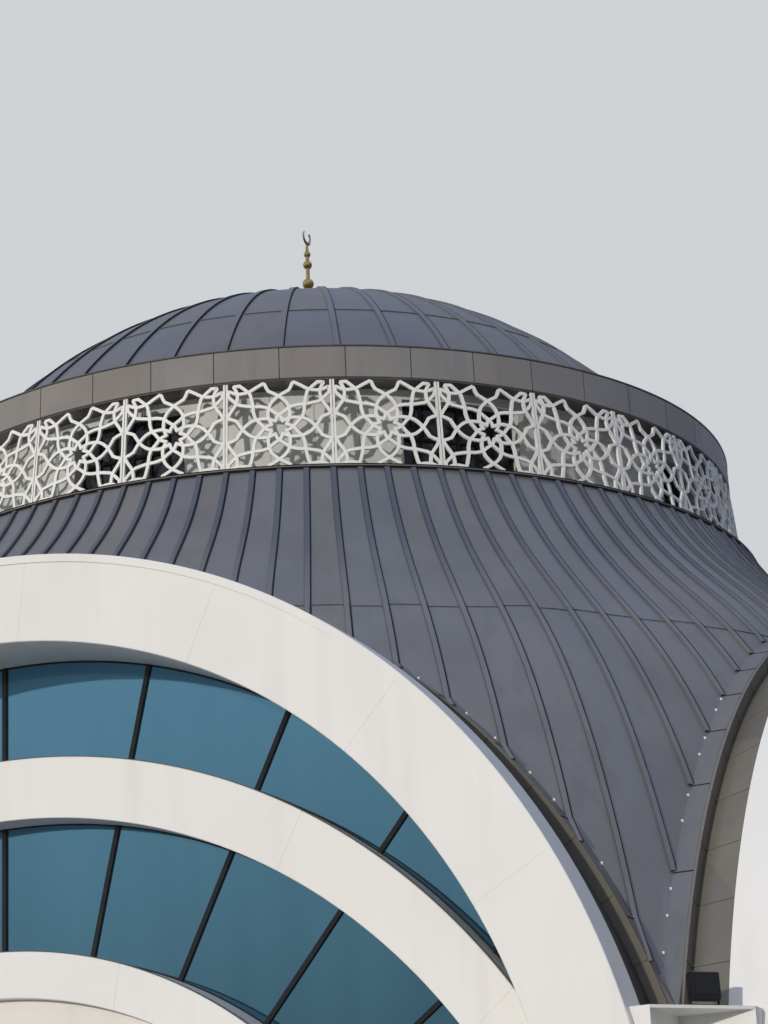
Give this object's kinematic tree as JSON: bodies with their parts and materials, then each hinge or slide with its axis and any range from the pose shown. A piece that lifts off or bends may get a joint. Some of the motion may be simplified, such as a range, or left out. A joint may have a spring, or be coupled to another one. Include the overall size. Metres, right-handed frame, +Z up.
{
  "type": "mosque building",
  "caption": "Square mosque hall with a great round arch on each side, a curved seamed metal roof and a shallow dome on a drum wrapped in a star-pattern screen.",
  "frame": {"origin": "centre of the square plan at ground level, under the dome", "axes": "+Z up, -Y out through the front arch with the doorway, +X out through the right arch"},
  "size_m": [28.352, 28.352, 29.8958],
  "materials": {
    "white_cladding": "matt white cladding panels",
    "cream_render": "matt cream render",
    "flashing_metal": "satin grey-brown sheet",
    "fascia_metal": "satin grey-brown cassettes",
    "roof_metal": "satin slate-grey standing seam sheet",
    "dome_metal": "satin slate-grey sheet",
    "tinted_glass": "blue-green reflective glass",
    "drum_window_glass": "dark glass",
    "screen_white": "matt white coated openwork",
    "drum_panel": "matt olive-beige panels",
    "gilded_brass": "polished",
    "black_metal": "satin black",
    "floor_stone": "honed"
  },
  "bodies": {
    "root": {"front_great_arch": "white_cladding", "front_verge_flashing": "flashing_metal", "front_middle_arch": "white_cladding", "front_inner_arch": "white_cladding", "front_glazing": "tinted_glass", "front_infill_wall": "cream_render", "right_great_arch": "white_cladding", "right_verge_flashing": "flashing_metal", "right_middle_arch": "white_cladding", "right_inner_arch": "white_cladding", "right_glazing": "tinted_glass", "right_infill_wall": "cream_render", "back_great_arch": "white_cladding", "back_verge_flashing": "flashing_metal", "back_middle_arch": "white_cladding", "back_inner_arch": "white_cladding", "back_glazing": "tinted_glass", "back_infill_wall": "cream_render", "left_great_arch": "white_cladding", "left_verge_flashing": "flashing_metal", "left_middle_arch": "white_cladding", "left_inner_arch": "white_cladding", "left_glazing": "tinted_glass", "left_infill_wall": "cream_render", "front_right_pier": "white_cladding", "front_right_lamp": "black_metal", "front_right_roof": "roof_metal", "front_right_screen": "screen_white", "right_back_pier": "white_cladding", "right_back_lamp": "black_metal", "right_back_roof": "roof_metal", "right_back_screen": "screen_white", "back_left_pier": "white_cladding", "back_left_lamp": "black_metal", "back_left_roof": "roof_metal", "back_left_screen": "screen_white", "left_front_pier": "white_cladding", "left_front_lamp": "black_metal", "left_front_roof": "roof_metal", "left_front_screen": "screen_white", "ring_beam": "flashing_metal", "drum_wall": "drum_panel", "drum_glass": "drum_window_glass", "fascia_ring": "fascia_metal", "dome_shell": "dome_metal", "finial_stem": "gilded_brass", "finial_crescent": "gilded_brass", "floor_slab": "floor_stone"}
  },
  "joints": []
}
